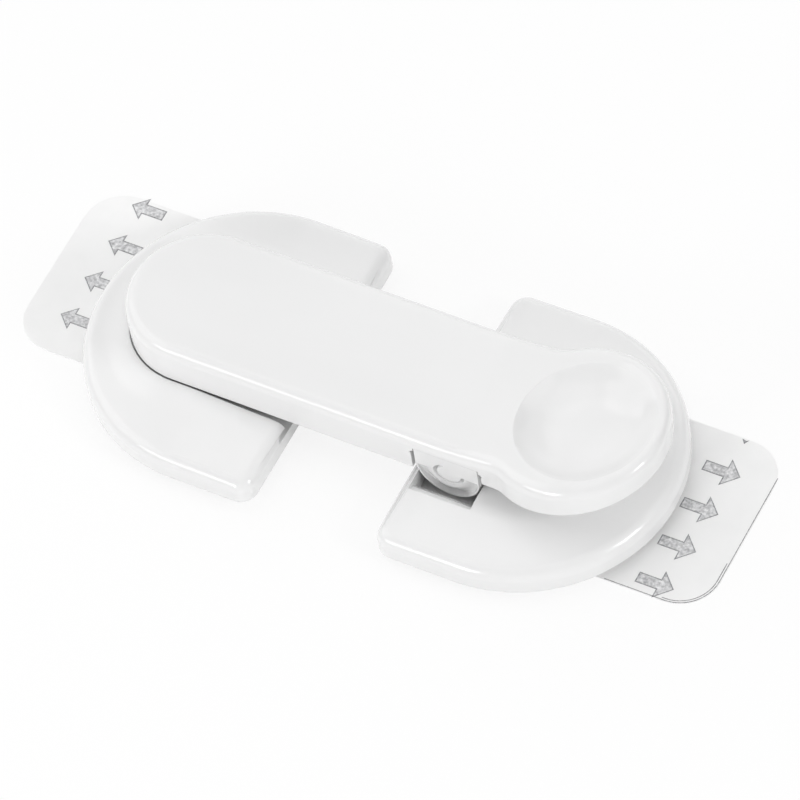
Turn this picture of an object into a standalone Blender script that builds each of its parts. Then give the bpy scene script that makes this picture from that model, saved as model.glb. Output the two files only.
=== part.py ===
"""Fridge lock: two stick-on bases, a lift-up arm on a hinge pin, and two squeeze tabs that latch the arm.

X runs along the arm from the hinge base to the catch base, Y away from the viewer, Z up from the
surface that the lock is stuck to. The origin is on that surface, in the middle of the lock.
"""
import math

import bmesh
import bpy
from mathutils import Matrix, Vector

MM = 0.001

# Mesh tolerances
WELD = 0.001 * MM
TOUCH = 0.01 * MM
FLAT_ANGLE = math.radians(0.2)
SMOOTH_ANGLE = math.radians(35.0)
UPRIGHT = 0.01

# Clearances
SEAT_GAP = 0.3 * MM
RUN_GAP = 0.4 * MM
SLOT_GAP = 0.9 * MM
CHANNEL_GAP = 0.3 * MM

# Release liners and foam pads
LINER_THICKNESS = 0.2 * MM
LINER_REACH = 94.8 * MM
LINER_LENGTH = 73.0 * MM
LINER_WIDTH = 49.0 * MM
LINER_CORNER = 10.0 * MM
HINGE_LINER_OFFSET = 8.0 * MM
CATCH_LINER_OFFSET = 1.2 * MM
PAD_THICKNESS = 1.0 * MM
PAD_LENGTH = 44.0 * MM
PAD_WIDTH = 40.0 * MM
PAD_CORNER = 4.0 * MM
PAD_INSET = 6.0 * MM
HINGE_PAD_OFFSET = 3.6 * MM
CATCH_PAD_OFFSET = 0.6 * MM

# Bases: flat inner edge, straight sides, half-round outer end, crowned top
BASE_HALF_WIDTH = 39.2 * MM
BASE_STRAIGHT = 21.5 * MM
BASE_GAP = 32.5 * MM
BASE_HEIGHT = 9.2 * MM
BASE_CORNER = 4.4 * MM
BASE_EDGE_ROUND = 3.0 * MM
BASE_LEAST_CORNER = 0.5 * MM
BASE_CROWN_RADIUS = 400.0 * MM
BASE_SKIN = 3.6 * MM
BASE_WALL = 3.4 * MM
PLATE_THICKNESS = 1.4 * MM
PLATE_RIM = 1.8 * MM
PLATE_PROUD = 0.8 * MM

# Channel under the arm in the hinge base
CHANNEL_DEPTH = 4.6 * MM
CHANNEL_WALL = 2.0 * MM
CHANNEL_MOUTH_ROUND = 5.0 * MM

# Arm
ARM_HALF_WIDTH = 18.8 * MM
ARM_HEIGHT = 11.4 * MM
ARM_END_CENTRE = -47.2 * MM
ARM_WALL = 2.2 * MM
ARM_EDGE_ROUND = 3.0 * MM
CAVITY_END = 33.8 * MM
NOSE_CENTRE = 53.2 * MM
NOSE_RADIUS = 22.5 * MM
NOSE_SLOPE = 0.15
NOSE_UNDER_LIFT = 6.05 * MM
NOSE_UNDER_SLOPE = 0.19
BEND_START = 24.0 * MM
BEND_END = 36.0 * MM
NECK_ROUND = 11.0 * MM
NECK_WALL = 2.0 * MM

# Thumb dish in the nose
DISH_CENTRE = 55.5 * MM
DISH_RIM_RADIUS = 17.2 * MM
DISH_DEPTH = 5.0 * MM

# Hinge
PIN_RADIUS = 1.5 * MM
PIN_HALF_LENGTH = 8.2 * MM
PIN_FROM_TIP = 7.0 * MM
PIN_DROP = 5.8 * MM
LUG_HALF_WIDTH = 5.0 * MM
LUG_RADIUS = 3.2 * MM
LUG_FOOT_SPREAD = 2.0 * MM
LUG_FOOT_HEIGHT = 1.6 * MM
CHEEK_WIDTH = 4.2 * MM
CHEEK_HALF_LENGTH = 4.2 * MM
SADDLE_LIP = 3.0 * MM

# Release tabs in the arm's side walls
TAB_CENTRE = 27.1 * MM
TAB_HALF_LENGTH = 8.35 * MM
TAB_THICKNESS = 2.2 * MM
TAB_CREASE_DROP = 3.6 * MM
TAB_SLOT_DROP = 5.4 * MM
TAB_GROOVE_RADIUS = 1.2 * MM
TAB_GROOVE_OFFSET = 0.3 * MM
TAB_LIP_REACH = 1.5 * MM
TAB_LIP_HEIGHT = 1.5 * MM
TAB_LIP_LEAD = 1.0 * MM
TAB_LIP_FADE = 7.5 * MM
TAB_LIP_LEAST = 0.1 * MM
TAB_LIP_SWELL = 0.7
TAB_ROUND_START = 11.0 * MM
TAB_TRAVEL = math.radians(8.0)
SLOT_END_RADIUS = 0.7 * MM
GRIP_HALF_LENGTH = 4.3 * MM
GRIP_HALF_HEIGHT = 2.9 * MM
GRIP_RISE = 0.7 * MM
GRIP_TOP_RISE = 0.05 * MM
GRIP_BELOW_CREASE = 7.0 * MM

# Pockets for the tabs in the catch base
POCKET_ROOM = 4.8 * MM
STRIKE_HEIGHT = 1.4 * MM
STRIKE_LEAD = 1.4 * MM
STRIKE_UNDERCUT = 1.8 * MM
STRIKE_TOP_DROP = 2.6 * MM
POCKET_WALL = 2.0 * MM

# Cover plate under the arm and its screws
COVER_THICKNESS = 1.8 * MM
SCREW_SHANK_RADIUS = 1.4 * MM
SCREW_HEAD_RADIUS = 2.6 * MM
SCREW_HEAD_HEIGHT = 1.5 * MM
SCREW_LENGTH = 6.2 * MM
SCREW_TIP_RADIUS = 0.5 * MM
SCREW_SIDE = 9.0 * MM
SCREW_STATIONS = (-40.0 * MM, 8.0 * MM)
BOSS_WALL = 1.7 * MM
COVER_BOSS_RISE = 2.0 * MM

# Facets
END_STEPS = 36
CORNER_STEPS = 6
LUG_STEPS = 18
TUBE_STEPS = 3
LIP_SKIP_STEPS = 3
ROUND_STEPS = 4
BEND_STEPS = 4
PIN_STEPS = 24
DISH_STEPS = 96
CROWN_STEPS = 6
EPS = 1.0 * MM

# Heights that follow from the sizes above
PAD_Z = LINER_THICKNESS + SEAT_GAP
BASE_Z = PAD_Z + PAD_THICKNESS + SEAT_GAP
BASE_TOP = BASE_Z + BASE_HEIGHT
BASE_RIM_Z = BASE_Z + PLATE_PROUD
PLATE_TOP = BASE_Z + PLATE_THICKNESS
CHANNEL_Z = BASE_TOP - CHANNEL_DEPTH
ARM_Z = BASE_TOP + RUN_GAP
ARM_TOP = ARM_Z + ARM_HEIGHT
ARM_CEILING = ARM_TOP - ARM_WALL
COVER_Z = ARM_Z + SEAT_GAP
COVER_TOP = COVER_Z + COVER_THICKNESS
PIN_X = ARM_END_CENTRE - ARM_HALF_WIDTH + PIN_FROM_TIP
PIN_Z = ARM_TOP - PIN_DROP
BORE_RADIUS = PIN_RADIUS + SEAT_GAP
LUG_SLOT = LUG_HALF_WIDTH + RUN_GAP
INNER_EDGE = BASE_GAP / 2
CREASE_Z = ARM_TOP - TAB_CREASE_DROP
TAB_TOP = CREASE_Z - SEAT_GAP
TAB_FOOT = PLATE_TOP + RUN_GAP
TAB_LIP_TOP = TAB_FOOT + TAB_LIP_HEIGHT
TAB_INNER = ARM_HALF_WIDTH - TAB_THICKNESS
TAB_AXIS_Y = ARM_HALF_WIDTH - TAB_THICKNESS / 2
TAB_AXIS_Z = (CREASE_Z + TAB_TOP) / 2
TAB_SWING = (TAB_AXIS_Z - TAB_FOOT) * math.sin(TAB_TRAVEL)
STRIKE_Z = TAB_LIP_TOP + SEAT_GAP
STRIKE_FACE = ARM_HALF_WIDTH + TAB_LIP_REACH + SEAT_GAP
POCKET_FRONT = ARM_HALF_WIDTH + POCKET_ROOM
POCKET_BACK = TAB_INNER - TAB_SWING - RUN_GAP
SLOT_EDGE = TAB_HALF_LENGTH + SLOT_GAP


def arc(cx, cy, radius, start, end, steps):
    """Points along an arc, angles in degrees, both ends included."""
    points = []
    for i in range(steps + 1):
        angle = math.radians(start + (end - start) * i / steps)
        points.append((cx + radius * math.cos(angle), cy + radius * math.sin(angle)))
    return points


def mirrored(upper):
    """The closed outline that an upper half and its mirror image across y = 0 make."""
    lower = [(x, -y) for x, y in reversed(upper) if y > WELD]
    return upper + lower


def rounded_rectangle(cx, cy, length, width, corner):
    hx = length / 2 - corner
    hy = width / 2 - corner
    points = []
    for sx, sy, start in ((1, 1, 0), (-1, 1, 90), (-1, -1, 180), (1, -1, 270)):
        points += arc(cx + sx * hx, cy + sy * hy, corner, start, start + 90, CORNER_STEPS)
    return points


def base_outline(side, inset=0.0):
    """The D shape of a base, side -1 for the hinge base and +1 for the catch base."""
    half = BASE_HALF_WIDTH - inset
    corner = max(BASE_CORNER - inset, BASE_LEAST_CORNER)
    inner = INNER_EDGE + inset
    end = INNER_EDGE + BASE_STRAIGHT
    upper = arc(end, 0, half, 0, 90, END_STEPS // 2)
    upper += arc(inner + corner, half - corner, corner, 90, 180, CORNER_STEPS)
    return [(side * x, y) for x, y in mirrored(upper)]


def neck_geometry():
    """Centre of the concave round that joins the arm's side to the nose, and its two tangent angles."""
    reach = NOSE_RADIUS + NECK_ROUND
    rise = ARM_HALF_WIDTH + NECK_ROUND
    run = math.sqrt(reach * reach - rise * rise)
    return NOSE_CENTRE - run, rise, math.degrees(math.atan2(rise, run))


def arm_outline():
    """Half-round hinge end, straight sides, concave neck and round nose."""
    neck_x, neck_y, lean = neck_geometry()
    upper = arc(NOSE_CENTRE, 0, NOSE_RADIUS, 0, 180 - lean, END_STEPS // 2)
    upper += arc(neck_x, neck_y, NECK_ROUND, -lean, -90, CORNER_STEPS)
    upper += arc(ARM_END_CENTRE, 0, ARM_HALF_WIDTH, 90, 180, END_STEPS // 2)
    return mirrored(upper)


def top_at(x):
    """Height of the arm's top: level, then bent up along the nose."""
    length = BEND_END - BEND_START
    run = min(max(x - BEND_START, 0), length)
    return ARM_TOP + NOSE_SLOPE * (run * run / (2 * length) + max(x - BEND_END, 0))


def underside_at(x):
    """Height of the nose's underside."""
    return ARM_Z + NOSE_UNDER_LIFT + NOSE_UNDER_SLOPE * (x - NOSE_CENTRE)


def above_arm():
    """What lies over the arm's top, as a side view extruded across the arm."""
    start = ARM_END_CENTRE - ARM_HALF_WIDTH - EPS
    far = NOSE_CENTRE + NOSE_RADIUS + EPS
    step = (BEND_END - BEND_START) / BEND_STEPS
    bend = [BEND_START + i * step for i in range(BEND_STEPS + 1)]
    high = top_at(far) + EPS
    outline = [(x, top_at(x)) for x in (start, *bend, far)] + [(far, high), (start, high)]
    reach = NOSE_RADIUS + EPS
    return prism("above_arm", outline, -reach, reach, "XZ")


def bar_outline(end_x, inset=0.0):
    """The hinge end of the arm, inset or grown, with a straight cut at end_x."""
    half = ARM_HALF_WIDTH - inset
    upper = [(end_x, half)] + arc(ARM_END_CENTRE, 0, half, 90, 180, END_STEPS // 2)
    return mirrored(upper)


def channel_outline():
    """The arm's hinge end with its clearance, flared round at the base's inner edge."""
    half = ARM_HALF_WIDTH + CHANNEL_GAP
    mouth = CHANNEL_MOUTH_ROUND
    upper = [(-INNER_EDGE + EPS, half + mouth)]
    upper += arc(-INNER_EDGE - mouth, half + mouth, mouth, 0, -90, CORNER_STEPS)
    upper += arc(ARM_END_CENTRE, 0, half, 90, 180, END_STEPS // 2)
    return mirrored(upper)


def link(obj, collection):
    collection.objects.link(obj)
    return obj


def clean(mesh):
    """Weld the caps, join coplanar faces and point the faces out."""
    bm = bmesh.new()
    bm.from_mesh(mesh)
    bmesh.ops.remove_doubles(bm, verts=bm.verts, dist=WELD)
    bmesh.ops.dissolve_limit(bm, angle_limit=FLAT_ANGLE, verts=bm.verts, edges=bm.edges)
    bmesh.ops.recalc_face_normals(bm, faces=bm.faces)
    bm.to_mesh(mesh)
    bm.free()


def baked(obj, name):
    """A mesh object with the evaluated shape of obj, which is removed."""
    depsgraph = bpy.context.evaluated_depsgraph_get()
    mesh = bpy.data.meshes.new_from_object(obj.evaluated_get(depsgraph))
    mesh.name = name
    mesh.transform(obj.matrix_world)
    bpy.data.objects.remove(obj, do_unlink=True)
    return link(bpy.data.objects.new(name, mesh), WORK)


def prism(name, outline, low, high, plane="XY"):
    """A flat outline extruded from low to high along the third axis of its plane."""
    curve = bpy.data.curves.new(name, "CURVE")
    curve.dimensions = "2D"
    curve.fill_mode = "BOTH"
    curve.extrude = (high - low) / 2
    spline = curve.splines.new("POLY")
    spline.points.add(len(outline) - 1)
    for point, (x, y) in zip(spline.points, outline):
        point.co = (x, y, 0, 1)
    spline.use_cyclic_u = True
    obj = link(bpy.data.objects.new(name, curve), WORK)
    middle = (high + low) / 2
    turns = {
        "XY": Matrix.Translation((0, 0, middle)),
        "XZ": Matrix.Translation((0, middle, 0)) @ Matrix.Rotation(math.pi / 2, 4, "X"),
        "YZ": Matrix.Translation((middle, 0, 0)) @ Matrix.Rotation(math.pi / 2, 4, "Z")
        @ Matrix.Rotation(math.pi / 2, 4, "X"),
    }
    obj.matrix_world = turns[plane]
    bpy.context.view_layer.update()
    solid = baked(obj, name)
    clean(solid.data)
    return solid


def box(name, low, high):
    size = [h - l for l, h in zip(low, high)]
    middle = [(h + l) / 2 for l, h in zip(low, high)]
    mesh = bpy.data.meshes.new(name)
    bm = bmesh.new()
    place = Matrix.Translation(middle) @ Matrix.Diagonal((*size, 1))
    bmesh.ops.create_cube(bm, size=1.0, matrix=place)
    bm.to_mesh(mesh)
    bm.free()
    return link(bpy.data.objects.new(name, mesh), WORK)


def rod(name, radius, start, end, steps=PIN_STEPS):
    """A cylinder between two points."""
    start = Vector(start)
    end = Vector(end)
    mesh = bpy.data.meshes.new(name)
    bm = bmesh.new()
    turn = (end - start).to_track_quat("Z", "Y").to_matrix().to_4x4()
    place = Matrix.Translation((start + end) / 2) @ turn
    bmesh.ops.create_cone(
        bm, cap_ends=True, segments=steps, radius1=radius, radius2=radius,
        depth=(end - start).length, matrix=place,
    )
    bm.to_mesh(mesh)
    bm.free()
    return link(bpy.data.objects.new(name, mesh), WORK)


def combine(target, tools, operation):
    """Cut the tools from the target, join them to it or keep what they share."""
    for tool in tools:
        modifier = target.modifiers.new(tool.name, "BOOLEAN")
        modifier.operation = operation
        modifier.solver = "EXACT"
        modifier.object = tool
    bpy.context.view_layer.update()
    name = target.name
    target.name = name + "_before"
    result = baked(target, name)
    clean(result.data)
    for tool in tools:
        WORK.objects.unlink(tool)
        CUTTERS.objects.link(tool)
        tool.hide_render = True
        tool.display_type = "WIRE"
    return result


def cut(target, *tools):
    return combine(target, tools, "DIFFERENCE")


def join(target, *tools):
    return combine(target, tools, "UNION")


def keep(target, *tools):
    return combine(target, tools, "INTERSECT")


def round_edges(obj, on_top, radius):
    """Round the edges between the walls and the top, where on_top tells the top's points."""
    bm = bmesh.new()
    bm.from_mesh(obj.data)
    edges = [
        e for e in bm.edges
        if on_top(e.verts[0].co) and on_top(e.verts[1].co)
        and any(abs(f.normal.z) < UPRIGHT for f in e.link_faces)
    ]
    bmesh.ops.bevel(
        bm, geom=edges, offset=radius, offset_type="OFFSET", segments=ROUND_STEPS,
        profile=0.5, affect="EDGES", clamp_overlap=True,
    )
    bm.to_mesh(obj.data)
    bm.free()
    return obj


def base_top(co):
    return abs(co.z - BASE_TOP) < TOUCH


def arm_top(co):
    return abs(co.z - top_at(co.x)) < TOUCH


def surface(name, colour, roughness, metallic=0.0):
    """A material of one colour."""
    material = bpy.data.materials.new(name)
    material.use_nodes = True
    shader = material.node_tree.nodes["Principled BSDF"]
    shader.inputs["Base Color"].default_value = (*colour, 1)
    shader.inputs["Roughness"].default_value = roughness
    shader.inputs["Metallic"].default_value = metallic
    return material


def finish(obj, material, origin=(0, 0, 0)):
    """Give a finished piece its origin, its material and smooth round faces."""
    origin = Vector(origin)
    obj.data.transform(Matrix.Translation(-origin))
    obj.location = origin
    obj.data.materials.clear()
    obj.data.materials.append(material)
    obj.data.shade_smooth()
    obj.data.set_sharp_from_angle(angle=SMOOTH_ANGLE)
    WORK.objects.unlink(obj)
    PARTS.objects.link(obj)
    return obj


def release_liner(name, side, offset, material):
    centre = side * (LINER_REACH - LINER_LENGTH / 2)
    outline = rounded_rectangle(centre, offset, LINER_LENGTH, LINER_WIDTH, LINER_CORNER)
    return finish(prism(name, outline, 0, LINER_THICKNESS), material)


def foam_pad(name, side, offset, material):
    centre = side * (INNER_EDGE + PAD_INSET + PAD_LENGTH / 2)
    outline = rounded_rectangle(centre, offset, PAD_LENGTH, PAD_WIDTH, PAD_CORNER)
    return finish(prism(name, outline, PAD_Z, PAD_Z + PAD_THICKNESS), material)


def base_plate(name, side, material):
    outline = base_outline(side, PLATE_RIM + SEAT_GAP)
    return finish(prism(name, outline, BASE_Z, PLATE_TOP), material)


def crowned(obj, side):
    """Net the flat top with lines both ways, then lower it away from the middle of the half-round end."""
    bm = bmesh.new()
    bm.from_mesh(obj.data)
    middle = side * (INNER_EDGE + BASE_STRAIGHT)
    for i in range(1 - CROWN_STEPS, CROWN_STEPS):
        share = i / CROWN_STEPS * BASE_HALF_WIDTH
        for at, across in (((middle + share, 0, 0), (1, 0, 0)), ((0, share, 0), (0, 1, 0))):
            top = [f for f in bm.faces if all(base_top(v.co) for v in f.verts)]
            edges = list({e for f in top for e in f.edges})
            verts = list({v for f in top for v in f.verts})
            bmesh.ops.bisect_plane(bm, geom=top + edges + verts, dist=TOUCH, plane_co=at, plane_no=across)
    for vert in bm.verts:
        if vert.co.z > BASE_RIM_Z + TOUCH:
            vert.co.z -= ((vert.co.x - middle) ** 2 + vert.co.y ** 2) / (2 * BASE_CROWN_RADIUS)
    bmesh.ops.triangulate(bm, faces=bm.faces)
    bm.to_mesh(obj.data)
    bm.free()
    return obj


def base_body(name, side):
    """The solid D with its top edge rounded and its top crowned."""
    body = prism(name, base_outline(side), BASE_RIM_Z, BASE_TOP)
    return crowned(round_edges(body, base_top, BASE_EDGE_ROUND), side)


def base_hollow(side, kept):
    """What is hollow under a base's skin: the plate's recess, and a cavity that goes round what is kept."""
    recess = prism("plate_recess", base_outline(side, PLATE_RIM), BASE_Z - EPS, PLATE_TOP + SEAT_GAP)
    cavity = prism("base_cavity", base_outline(side, BASE_WALL), PLATE_TOP, BASE_TOP - BASE_SKIN)
    return recess, cut(cavity, *kept)


def lug_outline():
    """Side view of the hinge lug: round head about the pin, straight stem, spread foot."""
    foot = CHANNEL_Z - EPS
    shoulder = CHANNEL_Z + LUG_FOOT_HEIGHT
    points = arc(PIN_X, PIN_Z, LUG_RADIUS, 0, 180, LUG_STEPS)
    points += [(PIN_X - LUG_RADIUS, shoulder), (PIN_X - LUG_RADIUS - LUG_FOOT_SPREAD, CHANNEL_Z)]
    points += [(PIN_X - LUG_RADIUS - LUG_FOOT_SPREAD, foot), (PIN_X + LUG_RADIUS + LUG_FOOT_SPREAD, foot)]
    points += [(PIN_X + LUG_RADIUS + LUG_FOOT_SPREAD, CHANNEL_Z), (PIN_X + LUG_RADIUS, shoulder)]
    return points


def hinge_base(material):
    body = base_body("hinge_base", -1)
    channel = prism("channel", channel_outline(), CHANNEL_Z, BASE_TOP + EPS)
    channel_wall = prism(
        "channel_wall", bar_outline(-INNER_EDGE + EPS, -CHANNEL_GAP - CHANNEL_WALL),
        CHANNEL_Z - CHANNEL_WALL, BASE_TOP,
    )
    spread = LUG_RADIUS + LUG_FOOT_SPREAD
    lug_block = box(
        "lug_block",
        (PIN_X - spread, -LUG_HALF_WIDTH - CHANNEL_WALL, PLATE_TOP - EPS),
        (PIN_X + spread, LUG_HALF_WIDTH + CHANNEL_WALL, CHANNEL_Z),
    )
    recess, cavity = base_hollow(-1, (channel_wall, lug_block))
    body = cut(body, channel, recess, cavity)
    lug = prism("lug", lug_outline(), -LUG_HALF_WIDTH, LUG_HALF_WIDTH, "XZ")
    body = join(body, lug)
    reach = LUG_HALF_WIDTH + EPS
    bore = rod("pin_bore", BORE_RADIUS, (PIN_X, -reach, PIN_Z), (PIN_X, reach, PIN_Z))
    return finish(cut(body, bore), material)


def pocket_outline(side):
    """Cross-section of a tab pocket: wide mouth, strike with a slanted lead, undercut for the lip."""
    floor = PLATE_TOP - EPS
    strike_top = STRIKE_Z + STRIKE_HEIGHT
    points = [
        (POCKET_BACK, BASE_TOP + EPS), (POCKET_BACK, floor), (STRIKE_FACE + STRIKE_UNDERCUT, floor),
        (STRIKE_FACE + STRIKE_UNDERCUT, STRIKE_Z), (STRIKE_FACE, STRIKE_Z), (STRIKE_FACE, strike_top),
        (STRIKE_FACE + STRIKE_LEAD, BASE_TOP - STRIKE_TOP_DROP),
        (POCKET_FRONT, BASE_TOP - STRIKE_TOP_DROP), (POCKET_FRONT, BASE_TOP + EPS),
    ]
    return [(side * y, z) for y, z in points]


def catch_base(material):
    body = base_body("catch_base", 1)
    half = tab_half_length_at(BASE_TOP) + SEAT_GAP
    pockets = []
    walls = []
    for side, name in ((-1, "front"), (1, "rear")):
        pockets.append(
            prism(name + "_pocket", pocket_outline(side), TAB_CENTRE - half, TAB_CENTRE + half, "YZ")
        )
        near = side * (POCKET_BACK - POCKET_WALL)
        far = side * (POCKET_FRONT + POCKET_WALL)
        walls.append(
            box(
                name + "_pocket_wall",
                (TAB_CENTRE - half - POCKET_WALL, min(near, far), PLATE_TOP - EPS),
                (TAB_CENTRE + half + POCKET_WALL, max(near, far), BASE_TOP),
            )
        )
    recess, cavity = base_hollow(1, walls)
    return finish(cut(body, recess, cavity, *pockets), material)


def dish_cutter():
    """A ball whose cap of the dish's depth and rim dips squarely into the sloped nose."""
    radius = (DISH_RIM_RADIUS ** 2 + DISH_DEPTH ** 2) / (2 * DISH_DEPTH)
    upwards = Vector((-NOSE_SLOPE, 0, 1)).normalized()
    mesh = bpy.data.meshes.new("dish_ball")
    bm = bmesh.new()
    centre = Vector((DISH_CENTRE, 0, top_at(DISH_CENTRE))) + upwards * (radius - DISH_DEPTH)
    bmesh.ops.create_uvsphere(
        bm, u_segments=DISH_STEPS, v_segments=DISH_STEPS, radius=radius, matrix=Matrix.Translation(centre)
    )
    bm.to_mesh(mesh)
    bm.free()
    return link(bpy.data.objects.new("dish_ball", mesh), WORK)


def nose_lift():
    """What is cut away under the neck and the nose."""
    wall_x = TAB_CENTRE + SLOT_EDGE + NECK_WALL
    far = NOSE_CENTRE + NOSE_RADIUS + EPS
    under = [
        (wall_x, ARM_Z - EPS), (far, ARM_Z - EPS), (far, underside_at(far)), (wall_x, underside_at(wall_x)),
    ]
    reach = NOSE_RADIUS + EPS
    cutters = [prism("nose_lift", under, -reach, reach, "XZ")]
    for side, name in ((-1, "front"), (1, "rear")):
        near = side * (TAB_INNER - SEAT_GAP)
        edge = side * (ARM_HALF_WIDTH + EPS)
        cutters.append(
            box(
                name + "_neck_lift",
                (TAB_CENTRE + TAB_HALF_LENGTH + SLOT_GAP / 2, min(near, edge), ARM_Z - EPS),
                (wall_x + EPS, max(near, edge), underside_at(wall_x)),
            )
        )
    return cutters


def tab_windows():
    """Openings for the tabs in the arm's walls: slots with round ends, hairline above, room behind."""
    slot_z = ARM_TOP - TAB_SLOT_DROP
    cutters = []
    for side, name in ((-1, "front"), (1, "rear")):
        inner = side * (TAB_INNER - EPS)
        outer = side * (ARM_HALF_WIDTH + EPS)
        back = side * (TAB_INNER - TAB_SWING - RUN_GAP)
        cutters.append(
            box(
                name + "_window",
                (TAB_CENTRE - SLOT_EDGE, min(back, outer), ARM_Z - EPS),
                (TAB_CENTRE + SLOT_EDGE, max(back, outer), slot_z),
            )
        )
        half = TAB_HALF_LENGTH + SEAT_GAP
        cutters.append(
            box(
                name + "_crease",
                (TAB_CENTRE - half, min(back, outer), slot_z - EPS),
                (TAB_CENTRE + half, max(back, outer), CREASE_Z),
            )
        )
        for way, end in ((-1, "left"), (1, "right")):
            x = TAB_CENTRE + way * (TAB_HALF_LENGTH + SLOT_GAP / 2)
            cutters.append(
                rod(
                    name + "_slot_end_" + end, SLOT_END_RADIUS,
                    (x, inner, slot_z), (x, outer, slot_z),
                )
            )
    return cutters


def screw_places():
    return [(x, side * SCREW_SIDE) for x in SCREW_STATIONS for side in (-1, 1)]


def arm_shell(material):
    body = prism("arm_shell", arm_outline(), ARM_Z, top_at(NOSE_CENTRE + NOSE_RADIUS) + EPS)
    body = round_edges(cut(body, above_arm()), arm_top, ARM_EDGE_ROUND)
    cavity = prism("arm_cavity", bar_outline(CAVITY_END, ARM_WALL), ARM_Z - EPS, ARM_CEILING)
    body = cut(body, dish_cutter(), cavity, *nose_lift())
    body = cut(body, *tab_windows())
    inserts = []
    for side, name in ((-1, "front"), (1, "rear")):
        near = side * LUG_SLOT
        far = side * (LUG_SLOT + CHEEK_WIDTH)
        inserts.append(
            box(
                name + "_cheek",
                (PIN_X - CHEEK_HALF_LENGTH, min(near, far), PIN_Z - SADDLE_LIP),
                (PIN_X + CHEEK_HALF_LENGTH, max(near, far), ARM_CEILING + EPS),
            )
        )
    for index, (x, y) in enumerate(screw_places()):
        radius = SCREW_SHANK_RADIUS + SEAT_GAP + BOSS_WALL
        low = COVER_TOP + COVER_BOSS_RISE + SEAT_GAP
        inserts.append(rod("screw_boss_%d" % index, radius, (x, y, low), (x, y, ARM_CEILING + EPS)))
    body = join(body, *inserts)
    end = PIN_HALF_LENGTH + SEAT_GAP
    saddle = box(
        "pin_saddle",
        (PIN_X - BORE_RADIUS, -end, PIN_Z - SADDLE_LIP - EPS),
        (PIN_X + BORE_RADIUS, end, PIN_Z),
    )
    saddle_round = rod("pin_saddle_round", BORE_RADIUS, (PIN_X, -end, PIN_Z), (PIN_X, end, PIN_Z))
    tail_notch = box(
        "tail_notch",
        (ARM_END_CENTRE - ARM_HALF_WIDTH - EPS, -LUG_SLOT, ARM_Z - EPS),
        (PIN_X, LUG_SLOT, ARM_CEILING),
    )
    pilots = []
    for index, (x, y) in enumerate(screw_places()):
        radius = SCREW_SHANK_RADIUS + SEAT_GAP
        top = screw_tip() + SEAT_GAP
        pilots.append(rod("screw_pilot_%d" % index, radius, (x, y, COVER_TOP), (x, y, top)))
    body = cut(body, saddle, saddle_round, tail_notch, *pilots)
    return finish(body, material, (PIN_X, 0, PIN_Z))


def screw_tip():
    """Top of the screws, whose heads lie flush with the cover's underside."""
    return COVER_Z + SCREW_HEAD_HEIGHT + SCREW_LENGTH


def arm_cover(material):
    body = prism("arm_cover", bar_outline(CAVITY_END - SEAT_GAP, ARM_WALL + SEAT_GAP), COVER_Z, COVER_TOP)
    raised = []
    for side, name in ((-1, "front"), (1, "rear")):
        near = side * (LUG_SLOT + SEAT_GAP)
        far = side * PIN_HALF_LENGTH
        raised.append(
            box(
                name + "_pin_rest",
                (PIN_X - BORE_RADIUS + SEAT_GAP, min(near, far), COVER_Z + SEAT_GAP),
                (PIN_X + BORE_RADIUS - SEAT_GAP, max(near, far), PIN_Z - PIN_RADIUS - SEAT_GAP),
            )
        )
    for index, (x, y) in enumerate(screw_places()):
        radius = SCREW_HEAD_RADIUS + SEAT_GAP + BOSS_WALL
        top = COVER_TOP + COVER_BOSS_RISE
        raised.append(rod("cover_boss_%d" % index, radius, (x, y, COVER_Z + SEAT_GAP), (x, y, top)))
    body = join(body, *raised)
    cutters = [
        box(
            "cover_notch",
            (ARM_END_CENTRE - ARM_HALF_WIDTH, -LUG_SLOT, COVER_Z - EPS),
            (PIN_X + LUG_RADIUS + LUG_FOOT_SPREAD, LUG_SLOT, COVER_TOP + EPS),
        )
    ]
    swing = (TAB_AXIS_Z - COVER_Z) * math.sin(TAB_TRAVEL)
    for side, name in ((-1, "front"), (1, "rear")):
        near = side * (TAB_INNER - swing - SEAT_GAP)
        far = side * (ARM_HALF_WIDTH + EPS)
        cutters.append(
            box(
                name + "_tab_notch",
                (TAB_CENTRE - SLOT_EDGE, min(near, far), COVER_Z - EPS),
                (TAB_CENTRE + SLOT_EDGE, max(near, far), COVER_TOP + EPS),
            )
        )
    for index, (x, y) in enumerate(screw_places()):
        seat = COVER_Z + SCREW_HEAD_HEIGHT + SEAT_GAP
        head = SCREW_HEAD_RADIUS + SEAT_GAP
        shank = SCREW_SHANK_RADIUS + SEAT_GAP
        cutters.append(rod("counterbore_%d" % index, head, (x, y, COVER_Z - EPS), (x, y, seat)))
        cutters.append(
            rod("cover_hole_%d" % index, shank, (x, y, COVER_Z), (x, y, COVER_TOP + COVER_BOSS_RISE + EPS))
        )
    return finish(cut(body, *cutters), material, (PIN_X, 0, PIN_Z))


def turned(name, profile, place):
    """A profile at +X, listed top to bottom, turned about the upright line through place."""
    mesh = bpy.data.meshes.new(name)
    bm = bmesh.new()
    verts = [bm.verts.new((r, 0, z)) for r, z in profile]
    for pair in zip(verts, verts[1:]):
        bm.edges.new(pair)
    bm.to_mesh(mesh)
    bm.free()
    obj = link(bpy.data.objects.new(name, mesh), WORK)
    obj.location = place
    screw = obj.modifiers.new("turn", "SCREW")
    screw.steps = PIN_STEPS
    screw.render_steps = PIN_STEPS
    screw.use_merge_vertices = True
    screw.merge_threshold = TOUCH
    bpy.context.view_layer.update()
    return baked(obj, name)


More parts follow.
